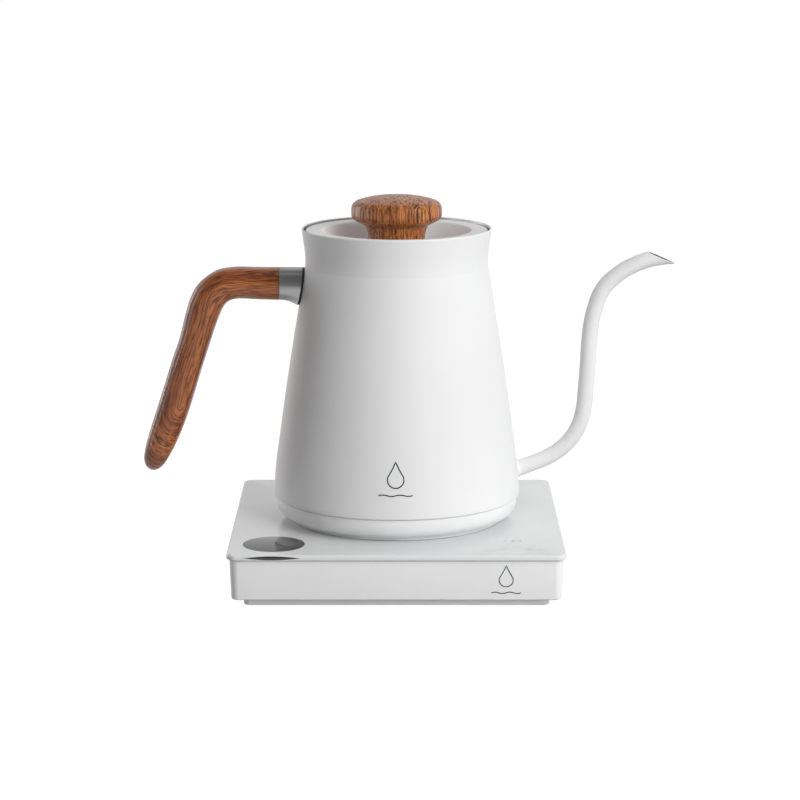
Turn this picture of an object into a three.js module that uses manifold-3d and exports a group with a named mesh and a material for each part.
// Electric gooseneck kettle on its square touch-control base.
// Millimetres, +Z up. The origin is on the standing surface, on the axis that the kettle and the base share.
// +X points the way the spout pours, the handle is on -X, and -Y is the side with the display and touch keys.
import * as THREE from "three";
import { mergeVertices } from "three/addons/utils/BufferGeometryUtils.js";
import Module from "manifold-3d";

const wasm = await Module();
wasm.setup();

// ---------- driving dimensions ----------
const GAP = 0.3; // between pieces that touch
const FINE = 36; // facets round a large turned part
const MEDIUM = 20; // facets round a small turned part
const COARSE = 10; // facets round a screw

// base
const PLATE_HALF = 88;
const PLATE_CORNER = 6;
const PLATE_TOP = 30;
const PLATE_THICK = 3;
const PLATE_BOTTOM = PLATE_TOP - PLATE_THICK;
const HOUSING_HALF = 86.2;
const HOUSING_WALL = 2.2;
const HOUSING_TOP = PLATE_BOTTOM - GAP;
const HOUSING_BOTTOM = 5.5;
const DECK_THICK = 2.5;
const DECK_UNDER = HOUSING_TOP - DECK_THICK;
const PLINTH_HALF = 79.5;
const PLINTH_BOTTOM = 1.2;
const PLINTH_FLOOR_TOP = 3.2;
const PLINTH_LIP_TOP = 8;
const FOOT_RADIUS = 7;
const FOOT_AT = 66;
const FOOT_TOP = 2;
const DISPLAY_RADIUS = 16.2;
const DISPLAY_AT = [-64.2, -64.1];
const BASE_SCREWS_AT = [[-70, -36], [70, -36], [70, 36], [-70, 36]];
const GLAND_AT = [50, 15]; // x and z on the rear wall
const GLAND_BORE = 3.5;
const GLAND_NECK = 4.7;
const GLAND_FLANGE = 6.5;
const BOARD_THICK = 1.6;

// 360 degree coupler: the boss on the base and the socket under the kettle
const BOSS_RADIUS = 17.8;
const BOSS_TOP = 37.8;
const GROOVE_OUTER = 14.2;
const GROOVE_INNER = 10.4;
const GROOVE_BOTTOM = 31;
const PIN_HOLE = 2.6;
const SOCKET_INNER = 18.8;
const SOCKET_OUTER = 20.8;
const SOCKET_TOP = 41.3;
const SOCKET_ROOF = 39.1;
const SOCKET_BOTTOM = 32.7;
const FLANGE_RADIUS = 24; // of the boss under the deck, and of the socket inside the cover
const TRACK = [10.8, 13.8]; // inner and outer radius of the contact ring
const TONGUE = [11, 13.6]; // inner and outer radius of the socket's ring that dips into the groove

// kettle body
const WALL = 0.9;
const BODY_BOTTOM = 43.2;
const RIM_TOP = 188.1;
const NECK_CREASE = [49.3, 165.3]; // radius and height of the soft crease under the neck
const SEAM_TOP = BODY_BOTTOM - GAP; // top of the bottom cover
const COVER_RADIUS = 65.3;
const COVER_EDGE = [62.4, 33.8];
const COVER_UNDER = 32.3;
const COVER_INSIDE = 34.3;
const COVER_FOOT = [55, 58.5]; // inner and outer radius of the ring that the kettle stands on
const FLOOR_BOTTOM = 46.5;
const FLOOR_TOP = 47.5;
const COVER_SCREW_RADIUS = 52.5;
const SPREADER_RADIUS = 48.8;
const SPREADER_BOTTOM = 42.1;
const PROBE_HOLE = 2.3;

// screws
const SCREW_HOLE = 1.8;
const SCREW_SHANK = 1.5;
const HEAD_RADIUS = 2.8;
const HEAD_HOLE = 3.1;

// spout
const SPOUT_OUTER = 4.3;
const SPOUT_BORE = 3.5;
const SPOUT_CUT = [[134.7, 174.9], [149.2, 168.6]]; // the bevelled mouth, in the plane y = 0

// handle
const HANDLE_HALF_DEPTH = 10.4;
const FERRULE_END = -62.6;
const HANDLE_TOP = 166.5;
const HANDLE_UNDER = 149.4;
const BRACKET_Z = 157.9;

// lid
const LID_TOP = RIM_TOP - 1;
const LID_RADIUS = 48.8;
const LID_SHEET = 1.6; // thickness of the cup's wall
const SKIRT_RADIUS = 47.2;
const WELL_RADIUS = 39.8;
const WELL_FLOOR = 176;
const SKIRT_BOTTOM = 176.3;
const LINER_BOTTOM = 172.2;
const KNOB_TOP = 205.4;
const KNOB_SCREW_HEAD = [5.5, 170.2]; // radius and underside

// ---------- materials ----------
const material = (color, roughness, metalness = 0) =>
  new THREE.MeshStandardMaterial({ color, roughness, metalness });
const WHITE_PAINT = material(0xe9e9ea, 0.55);
const WHITE_PLASTIC = material(0xe6e6e7, 0.4);
const WHITE_GLASS = material(0xeeeeef, 0.08);
const DARK_GLASS = material(0x3c3d40, 0.1);
const WOOD = material(0x8a4a24, 0.45);
const STEEL = material(0x9b9c9e, 0.35, 1);
const ALUMINIUM = material(0xb6b8ba, 0.4, 1);
const BRASS = material(0xb59a5b, 0.35, 1);
const BLACK_RUBBER = material(0x1d1d1f, 0.8);
const CLEAR_SILICONE = material(0xd9d9d6, 0.6);
const BOARD_GREEN = material(0x24543a, 0.6);
const BLACK_PLASTIC = material(0x242426, 0.5);

// ---------- solids from three.js geometry ----------
function solid(geometry) {
  const plain = geometry.index ? geometry.toNonIndexed() : geometry.clone();
  plain.deleteAttribute("normal");
  plain.deleteAttribute("uv");
  const merged = mergeVertices(plain, 1e-4);
  const build = (triVerts) =>
    new wasm.Manifold(
      new wasm.Mesh({ numProp: 3, vertProperties: merged.attributes.position.array, triVerts }),
    );
  const faces = new Uint32Array(merged.index.array);
  const made = build(faces);
  return made.volume() > 0 ? made : build(faces.slice().reverse());
}

function geometryOf(made) {
  const mesh = made.getMesh();
  const geometry = new THREE.BufferGeometry();
  geometry.setAttribute("position", new THREE.BufferAttribute(mesh.vertProperties, 3));
  geometry.setIndex(new THREE.BufferAttribute(mesh.triVerts, 1));
  geometry.computeVertexNormals();
  return geometry;
}

const cut = (from, ...tools) => tools.reduce((made, tool) => made.subtract(tool), from);
const join = (first, ...others) => others.reduce((made, other) => made.add(other), first);

// A closed profile of [radius, height] pairs turned about +Z, or about an upright axis through (x, y).
function turned(profile, segments = FINE, [x, y] = [0, 0]) {
  const outline = profile.map(([r, z]) => new THREE.Vector2(r, z));
  if (outline[0].x > 0) outline.push(outline[0].clone());
  const geometry = new THREE.LatheGeometry(outline, segments);
  return solid(geometry.rotateX(Math.PI / 2).translate(x, y, 0));
}

const disc = (radius, low, high, segments, at) =>
  turned([[0, low], [radius, low], [radius, high], [0, high]], segments, at);

const ring = (inner, outer, low, high, segments, at) =>
  turned([[inner, low], [outer, low], [outer, high], [inner, high]], segments, at);

// A rod along +X or +Y, through a point.
function rod(radius, from, to, axis, [x, y, z], segments = MEDIUM) {
  const geometry = new THREE.CylinderGeometry(radius, radius, to - from, segments);
  const middle = (from + to) / 2;
  if (axis === "x") return solid(geometry.rotateZ(Math.PI / 2).translate(middle, y, z));
  return solid(geometry.translate(x, middle, z));
}

// A screw driven upwards: its head's underside is at bottom.
const screw = (at, bottom, top) =>
  join(disc(SCREW_SHANK, bottom + 0.4, top, COARSE, at), disc(HEAD_RADIUS, bottom, bottom + 0.8, COARSE, at));

function block([x0, x1], [y0, y1], [z0, z1]) {
  const geometry = new THREE.BoxGeometry(x1 - x0, y1 - y0, z1 - z0);
  return solid(geometry.translate((x0 + x1) / 2, (y0 + y1) / 2, (z0 + z1) / 2));
}

// A square slab with rounded upright corners, centred on the axis.
function slab(half, corner, low, high) {
  const shape = new THREE.Shape();
  const inner = half - corner;
  const quarter = Math.PI / 2;
  shape.absarc(inner, inner, corner, 0, quarter);
  shape.absarc(-inner, inner, corner, quarter, 2 * quarter);
  shape.absarc(-inner, -inner, corner, 2 * quarter, 3 * quarter);
  shape.absarc(inner, -inner, corner, 3 * quarter, 4 * quarter);
  const depth = high - low;
  const geometry = new THREE.ExtrudeGeometry(shape, { depth, bevelEnabled: false, curveSegments: 4 });
  return solid(geometry.translate(0, 0, low));
}

// A closed skin over rings of points that all have the same count, with a flat cap at each end.
function loft(rings) {
  const count = rings[0].length;
  const positions = rings.flat().flatMap((p) => [p.x, p.y, p.z]);
  const faces = [];
  for (let i = 0; i + 1 < rings.length; i++) {
    for (let j = 0; j < count; j++) {
      const a = i * count + j;
      const b = i * count + ((j + 1) % count);
      faces.push(a, b, b + count, a, b + count, a + count);
    }
  }
  const last = (rings.length - 1) * count;
  for (let j = 1; j + 1 < count; j++) {
    faces.push(0, j + 1, j);
    faces.push(last, last + j, last + j + 1);
  }
  const geometry = new THREE.BufferGeometry();
  geometry.setAttribute("position", new THREE.Float32BufferAttribute(positions, 3));
  geometry.setIndex(faces);
  return solid(geometry);
}

// ---------- kettle body ----------
const spline = (points, steps) =>
  new THREE.SplineCurve(points.map(([r, z]) => new THREE.Vector2(r, z)))
    .getPoints(steps)
    .map((p) => [p.x, p.y]);

// Outside of the body, bottom to rim: a cone that turns upright near its foot, a soft crease, and a flared neck.
const bodyOutside = [
  [65.8, BODY_BOTTOM],
  ...spline([[66.6, 45], [66.4, 48], [63.4, 74.8], [59.4, 103], [55, 131], NECK_CREASE], 6),
  ...spline([NECK_CREASE, [48.95, 170.5], [49.5, 178], [50.8, RIM_TOP]], 4).slice(1),
];
const grown = (profile, by) => profile.map(([r, z]) => [r + by, z]);

function bodyEnvelope(by) {
  const outline = grown(bodyOutside, by);
  return turned([[0, BODY_BOTTOM], ...outline, [0, RIM_TOP]]);
}

// Centreline of the gooseneck in the plane y = 0, from inside the wall to past the mouth.
const spoutLine = new THREE.CatmullRomCurve3(
  [
    [58, 54.2], [74, 59.2], [90.2, 68.2], [99.6, 82.5], [102.2, 100.1], [104.1, 131],
    [108.9, 151.4], [122.4, 165.4], [135.6, 171], [149.5, 172.9], [158, 173.3],
  ].map(([x, z]) => new THREE.Vector3(x, 0, z)),
);

function alongSpout(radius) {
  const section = new THREE.Shape().absarc(0, 0, radius, 0, 2 * Math.PI);
  const options = { steps: 24, curveSegments: 5, extrudePath: spoutLine };
  return solid(new THREE.ExtrudeGeometry(section, options));
}

function bodyShell() {
  const inside = grown(bodyOutside, -WALL).reverse();
  return cut(turned([...bodyOutside, ...inside]), alongSpout(SPOUT_BORE));
}

function spoutTube() {
  const [[x0, z0], [x1, z1]] = SPOUT_CUT;
  const slope = Math.atan2(z1 - z0, x1 - x0);
  const beyond = new THREE.BoxGeometry(60, 20, 30).translate(0, 0, 15);
  beyond.rotateY(-slope).translate((x0 + x1) / 2, 0, (z0 + z1) / 2);
  return cut(alongSpout(SPOUT_OUTER), alongSpout(SPOUT_BORE), solid(beyond), bodyEnvelope(GAP));
}

// ---------- handle ----------
// Half of the handle's cross-section, from its outer side to its inner side: how far across the thickness,
// and the share of the half depth there. It bulges to a crease at CREASE and tapers away below it.
const CREASE = 0.64;
const HALF_SECTION = [[0, 0.3], [0.07, 0.62], [0.26, 0.88], [CREASE, 1], [0.93, 0.74], [1, 0.5]];
const SECTION = [...HALF_SECTION, ...HALF_SECTION.map(([share, deep]) => [share, -deep]).reverse()];

// The section at one place: outer and inner are the top and the underside of the handle in the plane y = 0.
function handleRing([outerX, outerZ], [innerX, innerZ], halfDepth) {
  return SECTION.map(([share, deep]) => {
    const x = THREE.MathUtils.lerp(outerX, innerX, share);
    const z = THREE.MathUtils.lerp(outerZ, innerZ, share);
    return new THREE.Vector3(x, deep * halfDepth, z);
  });
}

// Outer side, inner side and share of the full depth, from the ferrule round the elbow to the tip.
const GRIP_SECTIONS = [
  [[FERRULE_END - GAP, HANDLE_TOP], [FERRULE_END - GAP, HANDLE_UNDER], 1],
  [[-87.8, 166.6], [-84.9, 150.1], 1],
  [[-95.7, 165.2], [-88.8, 149.3], 1],
  [[-102, 161.6], [-91, 148], 1],
  [[-107.6, 156.1], [-93.2, 145], 1],
  [[-110.9, 149.7], [-94.7, 141.7], 1],
  [[-113.4, 141.7], [-96.8, 136.5], 1],
  [[-116.7, 129], [-100.8, 123.6], 1],
  [[-125, 104.1], [-109, 98.9], 1],
  [[-133.5, 78.1], [-118.2, 73.5], 0.97],
  [[-136.4, 67.6], [-123.3, 63.6], 0.88],
  [[-137.1, 61.9], [-126.6, 58.6], 0.7],
  [[-136.2, 58.4], [-129.4, 56.3], 0.42],
  [[-134.2, 55.9], [-132, 55.3], 0.1],
];

const FERRULE_SECTIONS = [
  [[FERRULE_END, HANDLE_TOP], [FERRULE_END, HANDLE_UNDER]],
  [[-57.5, HANDLE_TOP], [-57.5, HANDLE_UNDER - 0.2]],
  [[-54.5, HANDLE_TOP], [-54.5, HANDLE_UNDER - 1.4]],
  [[-51.5, HANDLE_TOP], [-51.5, HANDLE_UNDER - 3]],
  [[-44, HANDLE_TOP], [-44, HANDLE_UNDER - 3]],
];
const GASKET_THICK = 0.7;
const BRACKET_RADIUS = 4.5;
const BRACKET_END = -84;
const HANDLE_SCREW_X = -74;
const HANDLE_SCREW_BOTTOM = 151;
const SCREW_ENTRY = HANDLE_UNDER - 5;
const FERRULE_WALL = 2.2;
const WHOLE_FERRULE = [[-12, 12], [140, 170]]; // y and z of a block round the ferrule

function handleParts() {
  const rings = (sections, shrink = 0) =>
    sections.map(([[ox, oz], [ix, iz], depth = 1]) =>
      handleRing([ox, oz - shrink], [ix, iz + shrink], HANDLE_HALF_DEPTH * depth - shrink));
  const sleeve = loft(rings(FERRULE_SECTIONS));
  const bracketAt = [0, 0, BRACKET_Z];
  const screwAt = [HANDLE_SCREW_X, 0];
  const socket = rod(BRACKET_RADIUS + GAP, BRACKET_END - 1, -40, "x", bracketAt);
  const flange = loft(rings(FERRULE_SECTIONS, FERRULE_WALL + 1));
  return {
    handle_grip: cut(
      loft(rings(GRIP_SECTIONS)),
      socket,
      disc(SCREW_HOLE, SCREW_ENTRY, BRACKET_Z, COARSE, screwAt),
      disc(HEAD_HOLE, SCREW_ENTRY, HANDLE_SCREW_BOTTOM + 1.1, MEDIUM, screwAt),
    ),
    handle_ferrule: cut(
      sleeve,
      loft(rings(FERRULE_SECTIONS, FERRULE_WALL)).intersect(block([-60, -40], ...WHOLE_FERRULE)),
      socket,
      bodyEnvelope(GAP + GASKET_THICK + GAP),
    ),
    handle_gasket: cut(
      sleeve.intersect(bodyEnvelope(GAP + GASKET_THICK)),
      loft(rings(FERRULE_SECTIONS, FERRULE_WALL)),
      bodyEnvelope(GAP),
    ),
    handle_bracket: cut(
      join(
        rod(BRACKET_RADIUS, BRACKET_END, -46, "x", bracketAt),
        flange.intersect(block([-55, -40], ...WHOLE_FERRULE)),
      ),
      disc(SCREW_HOLE, SCREW_ENTRY, BRACKET_Z, COARSE, screwAt),
      bodyEnvelope(GAP),
    ),
    handle_screw: screw(screwAt, HANDLE_SCREW_BOTTOM, BRACKET_Z - GAP),
  };
}

// ---------- under the kettle ----------
const onCircle = (radius, count, turn) =>
  Array.from({ length: count }, (_, i) => {
    const angle = turn + (2 * Math.PI * i) / count;
    return [radius * Math.cos(angle), radius * Math.sin(angle)];
  });
const COVER_SCREWS_AT = onCircle(COVER_SCREW_RADIUS, 3, Math.PI / 2);
const CUTOUT_AT = [-32.5, 0];
const PROBE_AT = [24, 24];
const ELEMENT_RADIUS = 43;
const ELEMENT_TUBE = 3.2;
const ELEMENT_Z = 38.6;
const POST_HOLE_TOP = 43;

function bottomCover() {
  const [edgeRadius, edgeHeight] = COVER_EDGE;
  const outside = spline(
    [[COVER_RADIUS, SEAM_TOP], [65.3, 38.5], [64.4, 35.5], COVER_EDGE], 4,
  );
  const cup = turned([
    ...outside.reverse(),
    [COVER_RADIUS - 2, SEAM_TOP],
    [COVER_RADIUS - 2, 38],
    [60.5, COVER_INSIDE],
    [SOCKET_OUTER + 0.5, COVER_INSIDE],
    [SOCKET_OUTER + 0.5, COVER_UNDER],
    [COVER_FOOT[0], COVER_UNDER],
    [COVER_FOOT[0], PLATE_TOP + GAP],
    [COVER_FOOT[1], PLATE_TOP + GAP],
    [COVER_FOOT[1], COVER_UNDER - GAP],
    [edgeRadius - 1.6, edgeHeight - 0.8],
  ]);
  const holes = COVER_SCREWS_AT.flatMap((at) => [
    disc(HEAD_HOLE, COVER_UNDER - 1, COVER_UNDER + 1.1, MEDIUM, at),
    disc(SCREW_HOLE, COVER_UNDER - 1, COVER_INSIDE + 1, COARSE, at),
  ]);
  return cut(cup, ...holes);
}

function heatingElement() {
  const start = 0.14;
  const points = Array.from({ length: 25 }, (_, i) => {
    const angle = THREE.MathUtils.lerp(start, 2 * Math.PI - start, i / 24);
    return new THREE.Vector3(ELEMENT_RADIUS * Math.cos(angle), ELEMENT_RADIUS * Math.sin(angle), ELEMENT_Z);
  });
  const section = new THREE.Shape().absarc(0, 0, ELEMENT_TUBE, 0, 2 * Math.PI);
  const extrudePath = new THREE.CatmullRomCurve3(points);
  return solid(new THREE.ExtrudeGeometry(section, { steps: 20, curveSegments: 4, extrudePath }));
}

function kettleParts() {
  const probeHole = disc(PROBE_HOLE, SPREADER_BOTTOM - 1, FLOOR_TOP + 1, COARSE, PROBE_AT);
  const spreader = disc(SPREADER_RADIUS, SPREADER_BOTTOM, FLOOR_BOTTOM - GAP);
  const parts = {
    body_shell: [bodyShell(), WHITE_PAINT],
    spout_tube: [spoutTube(), WHITE_PAINT],
    bottom_cover: [bottomCover(), WHITE_PLASTIC],
    kettle_floor: [cut(disc(65.2, FLOOR_BOTTOM, FLOOR_TOP), probeHole), STEEL],
    heat_spreader: [cut(spreader, probeHole), ALUMINIUM],
    heating_element: [heatingElement(), STEEL],
    thermal_cutout: [disc(6.5, 35, SPREADER_BOTTOM - GAP, MEDIUM, CUTOUT_AT), BLACK_PLASTIC],
    temperature_probe: [
      join(disc(2, 38, 52.5, COARSE, PROBE_AT), disc(3.6, 37.5, 41, COARSE, PROBE_AT)),
      STEEL,
    ],
  };
  COVER_SCREWS_AT.forEach((at, i) => {
    const post = disc(3, COVER_INSIDE + GAP, FLOOR_BOTTOM - GAP, COARSE, at);
    const hole = disc(SCREW_HOLE, COVER_INSIDE, POST_HOLE_TOP, COARSE, at);
    parts[`cover_post_${i + 1}`] = [cut(post, hole), STEEL];
    parts[`cover_screw_${i + 1}`] = [screw(at, COVER_UNDER, POST_HOLE_TOP - 2), STEEL];
  });
  const looks = {
    handle_grip: WOOD,
    handle_ferrule: STEEL,
    handle_gasket: BLACK_RUBBER,
    handle_bracket: STEEL,
    handle_screw: STEEL,
  };
  for (const [name, made] of Object.entries(handleParts())) parts[name] = [made, looks[name]];
  return parts;
}

// ---------- coupler ----------
const PIN_RADIUS = 1.8;
const TONGUE_TIP = 34;
const FLANGE_BOTTOM = COVER_INSIDE + GAP;
const FLANGE_TOP = FLANGE_BOTTOM + 1.3;
const BOSS_BOTTOM = 20;

function socketParts() {
  const socket = turned([
    [PIN_RADIUS + 0.4, SOCKET_ROOF], [TONGUE[0], SOCKET_ROOF], [TONGUE[0], TONGUE_TIP],
    [TONGUE[1], TONGUE_TIP], [TONGUE[1], SOCKET_ROOF], [SOCKET_INNER, SOCKET_ROOF],
    [SOCKET_INNER, SOCKET_BOTTOM], [SOCKET_OUTER, SOCKET_BOTTOM],
    [SOCKET_OUTER, FLANGE_BOTTOM], [FLANGE_RADIUS, FLANGE_BOTTOM],
    [FLANGE_RADIUS, FLANGE_TOP], [SOCKET_OUTER, FLANGE_TOP],
    [SOCKET_OUTER, SOCKET_TOP], [PIN_RADIUS + 0.4, SOCKET_TOP],
  ], MEDIUM);
  return {
    coupler_socket: [socket, BLACK_PLASTIC],
    socket_pin: [disc(PIN_RADIUS, SOCKET_BOTTOM + 0.4, SOCKET_TOP, COARSE), BRASS],
  };
}

function couplerParts() {
  const boss = turned([
    [PIN_HOLE, BOSS_TOP - 0.6], [PIN_HOLE + 0.6, BOSS_TOP],
    [GROOVE_INNER, BOSS_TOP], [GROOVE_INNER, GROOVE_BOTTOM], [GROOVE_OUTER, GROOVE_BOTTOM],
    [GROOVE_OUTER, BOSS_TOP], [BOSS_RADIUS - 0.8, BOSS_TOP], [BOSS_RADIUS, BOSS_TOP - 0.8],
    [BOSS_RADIUS, DECK_UNDER - GAP], [FLANGE_RADIUS, DECK_UNDER - GAP],
    [FLANGE_RADIUS, BOSS_BOTTOM], [PIN_HOLE, BOSS_BOTTOM],
  ], MEDIUM);
  return {
    coupler_boss: [boss, BLACK_PLASTIC],
    contact_ring: [ring(...TRACK, GROOVE_BOTTOM + GAP, GROOVE_BOTTOM + 1, MEDIUM), BRASS],
  };
}

// ---------- lid ----------
const KNOB_HOLE = 2.4;
const LINER_SHEET = 0.8;
const KNOB_HOLE_TOP = 190;
const GASKET_RADII = [46.7, 47.75];

function lidParts() {
  const cup = turned([
    [LID_RADIUS, LID_TOP - 1],
    [LID_RADIUS - 0.8, LID_TOP],
    [WELL_RADIUS + 1.4, LID_TOP],
    [WELL_RADIUS, LID_TOP - 0.8],
    [37.8, 181.6],
    [34.5, 177],
    [32, WELL_FLOOR],
    [KNOB_HOLE, WELL_FLOOR],
    [KNOB_HOLE, WELL_FLOOR - LID_SHEET],
    [32.5, WELL_FLOOR - LID_SHEET],
    [35.8, 176],
    [39.4, 182],
    [41, LID_TOP - LID_SHEET],
    [SKIRT_RADIUS - LID_SHEET, LID_TOP - LID_SHEET],
    [SKIRT_RADIUS - LID_SHEET, SKIRT_BOTTOM],
    [SKIRT_RADIUS, SKIRT_BOTTOM],
    [SKIRT_RADIUS, LID_TOP - 2.4],
  ]);
  const linerTop = LINER_BOTTOM + LINER_SHEET;
  const hoopOuter = SKIRT_RADIUS - LINER_SHEET;
  const liner = turned([
    [KNOB_HOLE, LINER_BOTTOM], [SKIRT_RADIUS, LINER_BOTTOM], [SKIRT_RADIUS, linerTop],
    [hoopOuter, linerTop], [hoopOuter, SKIRT_BOTTOM - GAP], [hoopOuter - LINER_SHEET, SKIRT_BOTTOM - GAP],
    [hoopOuter - LINER_SHEET, linerTop], [KNOB_HOLE, linerTop],
  ]);
  // A wide wooden cap with a domed top and rolled edge, on a waisted stem.
  const knob = turned([
    [0, WELL_FLOOR + GAP],
    [16.2, WELL_FLOOR + GAP],
    ...spline([[15.4, 184.5], [16.9, 189.4], [21, 191.8]], 4),
    [23.6, 193.3],
    [24.3, 195.7],
    [24.2, 198.5],
    [23.4, 200.9],
    ...spline([[21.7, 202.3], [13.1, 204.5], [0, KNOB_TOP]], 3),
  ], 28);
  const [headRadius, headBottom] = KNOB_SCREW_HEAD;
  const knobScrew = join(
    disc(2, headBottom + 0.8, KNOB_HOLE_TOP - 1, COARSE),
    disc(headRadius, headBottom, LINER_BOTTOM - GAP, MEDIUM),
  );
  return {
    lid_cup: [cup, WHITE_PAINT],
    lid_liner: [liner, STEEL],
    lid_gasket: [ring(...GASKET_RADII, linerTop + GAP, SKIRT_BOTTOM - GAP), CLEAR_SILICONE],
    lid_knob: [cut(knob, disc(KNOB_HOLE, WELL_FLOOR, KNOB_HOLE_TOP, COARSE)), WOOD],
    knob_screw: [knobScrew, STEEL],
  };
}

// ---------- base ----------
const FEET_AT = [[-1, -1], [1, -1], [1, 1], [-1, 1]].map(([x, y]) => [x * FOOT_AT, y * FOOT_AT]);
const HOUSING_INNER = HOUSING_HALF - HOUSING_WALL;
const BOSS_HOLE = BOSS_RADIUS + 0.5;
const HEAD_RECESS_TOP = 3.4;

function housing() {
  const [glandX, glandZ] = GLAND_AT;
  const shell = cut(
    slab(HOUSING_HALF, 5.5, HOUSING_BOTTOM, HOUSING_TOP),
    slab(HOUSING_INNER, 3.5, HOUSING_BOTTOM - 1, DECK_UNDER),
  );
  const posts = BASE_SCREWS_AT.map((at) => disc(4, PLINTH_LIP_TOP + GAP, DECK_UNDER + 1, COARSE, at));
  const holes = [
    ...BASE_SCREWS_AT.map((at) => disc(SCREW_HOLE, PLINTH_LIP_TOP, 18, COARSE, at)),
    disc(DISPLAY_RADIUS + 0.4, DECK_UNDER - 1, HOUSING_TOP + 1, MEDIUM, DISPLAY_AT),
    disc(BOSS_HOLE, DECK_UNDER - 1, HOUSING_TOP + 1, MEDIUM),
    rod(GLAND_NECK + GAP, HOUSING_INNER - 1, HOUSING_HALF + 1, "y", [glandX, 0, glandZ]),
  ];
  return cut(join(shell, ...posts), ...holes);
}

function plinth() {
  const tray = join(
    slab(PLINTH_HALF, 8, PLINTH_BOTTOM, PLINTH_LIP_TOP - 1),
    slab(HOUSING_INNER - GAP, 3.2, HOUSING_BOTTOM + GAP, PLINTH_LIP_TOP),
  );
  const hollow = slab(PLINTH_HALF - 2, 6.5, PLINTH_FLOOR_TOP, PLINTH_LIP_TOP + 1);
  const bosses = BASE_SCREWS_AT.map((at) => disc(5.5, PLINTH_FLOOR_TOP - 0.5, PLINTH_LIP_TOP, COARSE, at));
  const holes = [
    ...BASE_SCREWS_AT.map((at) => disc(HEAD_HOLE, 0, HEAD_RECESS_TOP, COARSE, at)),
    ...BASE_SCREWS_AT.map((at) => disc(SCREW_HOLE, 0, PLINTH_LIP_TOP + 1, COARSE, at)),
    ...FEET_AT.map((at) => disc(FOOT_RADIUS + GAP, 0, FOOT_TOP + GAP, MEDIUM, at)),
  ];
  return cut(join(cut(tray, hollow), ...bosses), ...holes);
}

function baseParts() {
  const [glandX, glandZ] = GLAND_AT;
  const glandAt = [glandX, 0, glandZ];
  const glandEnd = HOUSING_HALF + 1.5;
  const gland = cut(
    join(
      rod(GLAND_FLANGE, HOUSING_HALF + GAP, glandEnd, "y", glandAt),
      rod(GLAND_NECK, HOUSING_INNER - 4, glandEnd - 0.5, "y", glandAt),
    ),
    rod(GLAND_BORE, HOUSING_INNER - 5, glandEnd + 1, "y", glandAt),
  );
  const plate = slab(PLATE_HALF, PLATE_CORNER, PLATE_BOTTOM, PLATE_TOP);
  const powerBoardTop = PLINTH_LIP_TOP + BOARD_THICK;
  const touchBoardTop = DECK_UNDER - GAP;
  const onPowerBoard = [powerBoardTop + GAP, 21];
  const parts = {
    base_housing: [housing(), WHITE_PLASTIC],
    glass_plate: [cut(plate, disc(BOSS_HOLE, PLATE_BOTTOM - 1, PLATE_TOP + 1, MEDIUM)), WHITE_GLASS],
    display_window: [disc(DISPLAY_RADIUS, DECK_UNDER + 1, HOUSING_TOP, MEDIUM, DISPLAY_AT), DARK_GLASS],
    display_module: [disc(14, 19, DECK_UNDER + 0.6, MEDIUM, DISPLAY_AT), BLACK_PLASTIC],
    touch_board: [block([36, 80], [-80, -50], [touchBoardTop - BOARD_THICK, touchBoardTop]), BOARD_GREEN],
    base_plinth: [plinth(), WHITE_PLASTIC],
    power_board: [block([-58, 22], [28, 76], [PLINTH_LIP_TOP, powerBoardTop]), BOARD_GREEN],
    transformer: [block([-52, -28], [36, 58], onPowerBoard), BLACK_PLASTIC],
    relay: [block([-14, 4], [40, 56], onPowerBoard), BLACK_PLASTIC],
    cord_gland: [gland, BLACK_RUBBER],
  };
  FEET_AT.forEach((at, i) => {
    parts[`rubber_foot_${i + 1}`] = [disc(FOOT_RADIUS, 0, FOOT_TOP, MEDIUM, at), BLACK_RUBBER];
  });
  BASE_SCREWS_AT.forEach((at, i) => {
    parts[`base_screw_${i + 1}`] = [screw(at, HEAD_RECESS_TOP - 1.1, 16), STEEL];
  });
  return parts;
}

// ---------- assembly ----------
const kettleSet = new THREE.Group();
const groups = [baseParts(), couplerParts(), socketParts(), kettleParts(), lidParts()];
for (const group of groups) {
  const assembly = new THREE.Group();
  for (const [name, [made, look]] of Object.entries(group)) {
    const mesh = new THREE.Mesh(geometryOf(made), look);
    mesh.name = name;
    assembly.add(mesh);
  }
  kettleSet.add(assembly);
}

export default kettleSet;
